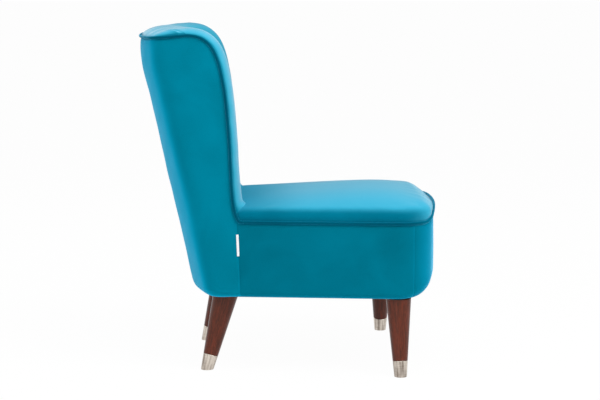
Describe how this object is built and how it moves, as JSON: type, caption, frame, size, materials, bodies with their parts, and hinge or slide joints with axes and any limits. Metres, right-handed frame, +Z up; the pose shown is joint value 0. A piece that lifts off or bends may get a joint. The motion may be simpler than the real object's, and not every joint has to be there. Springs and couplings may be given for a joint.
{
  "type": "slipper chair",
  "caption": "Armless upholstered chair with a crowned seat, a raked back rolled forward at the sides, cord piping and splayed tapered legs with metal ferrules.",
  "frame": {"origin": "bottom centre of the bounding box: on the floor, midway between the sides and midway between the front of the seat and the rear of the back", "axes": "+Z up; the chair faces -Y; the sitter's right is -X"},
  "size_m": [0.5812, 0.7489, 0.8539],
  "materials": {
    "velvet": "teal cotton velvet, short dense pile",
    "velvet_cord": "the same velvet cut on the bias and sewn over cord, darker",
    "stained_wood": "turned hardwood, reddish brown stain, satin lacquer",
    "frame_wood": "sawn softwood, unfinished",
    "plywood": "birch plywood, sawn edges",
    "card": "pressed upholstery card, matte",
    "foam": "cut polyurethane foam, open cell",
    "cloth": "black spun-bonded cloth",
    "webbing": "woven elastic webbing",
    "tag": "white woven tape, blank",
    "nickel": "satin nickel plate, warm",
    "steel": "zinc-plated steel"
  },
  "bodies": {
    "root": {"inside_back_cover": "velvet", "outside_back_cover": "velvet", "front_band": "velvet", "side_panel_right": "velvet", "side_panel_left": "velvet", "seat_cover": "velvet", "seat_piping": "velvet_cord", "back_piping": "velvet_cord", "leg_front_right": "stained_wood", "leg_front_left": "stained_wood", "leg_rear_right": "stained_wood", "leg_rear_left": "stained_wood", "front_rail": "frame_wood", "rear_rail": "frame_wood", "side_rail_right": "frame_wood", "side_rail_left": "frame_wood", "corner_block_front_right": "frame_wood", "corner_block_front_left": "frame_wood", "corner_block_rear_right": "frame_wood", "corner_block_rear_left": "frame_wood", "back_post_right": "frame_wood", "back_post_left": "frame_wood", "top_rail": "frame_wood", "middle_rail": "frame_wood", "lower_rail": "frame_wood", "side_former_right": "plywood", "side_former_left": "plywood", "back_liner": "card", "seat_foam": "foam", "back_foam": "foam", "seat_deck": "cloth", "dust_cover": "cloth", "back_webbing_right": "webbing", "back_webbing_middle": "webbing", "back_webbing_left": "webbing", "side_tag": "tag", "ferrule_front_right": "nickel", "ferrule_front_left": "nickel", "ferrule_rear_right": "nickel", "ferrule_rear_left": "nickel", "seat_spring_1": "steel", "seat_spring_2": "steel", "seat_spring_3": "steel", "seat_spring_4": "steel", "spring_clip_front_1": "steel", "spring_clip_front_2": "steel", "spring_clip_front_3": "steel", "spring_clip_front_4": "steel", "spring_clip_rear_1": "steel", "spring_clip_rear_2": "steel", "spring_clip_rear_3": "steel", "spring_clip_rear_4": "steel", "hanger_bolt_front_right": "steel", "hanger_bolt_front_left": "steel", "hanger_bolt_rear_right": "steel", "hanger_bolt_rear_left": "steel", "tee_nut_front_right": "steel", "tee_nut_front_left": "steel", "tee_nut_rear_right": "steel", "tee_nut_rear_left": "steel"}
  },
  "joints": []
}
